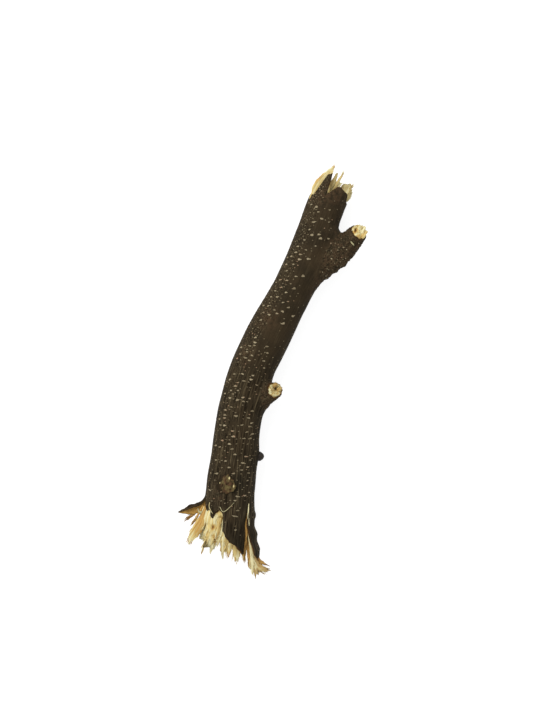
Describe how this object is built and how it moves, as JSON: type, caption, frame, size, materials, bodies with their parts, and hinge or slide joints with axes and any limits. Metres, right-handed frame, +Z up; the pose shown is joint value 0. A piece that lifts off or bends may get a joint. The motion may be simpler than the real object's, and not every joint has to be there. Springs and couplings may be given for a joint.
{
  "type": "fallen tree branch",
  "caption": "Fallen tree branch lying on its side, with speckled bark, torn pale wood at its broken ends, a snapped side branch, a twig stub and a bud.",
  "frame": {"origin": "middle of the whole branch in plan, on the surface that it lies on", "axes": "+Y along the stem from its thick torn end to its thin one, +Z up, +X to the side that the side branch leaves on"},
  "size_m": [0.0626, 0.2468, 0.0311],
  "materials": {
    "bark": "dry matt bark, dark olive brown with pale specks",
    "wood": "raw torn sapwood, cream with tan streaks",
    "bud": "dark brown bud scales, slightly glossy"
  },
  "bodies": {
    "root": {"stem_bark": "bark", "stem_wood": "wood", "side_branch_bark": "bark", "side_branch_wood": "wood", "twig_stub_bark": "bark", "twig_stub_wood": "wood", "bud": "bud"}
  },
  "joints": []
}
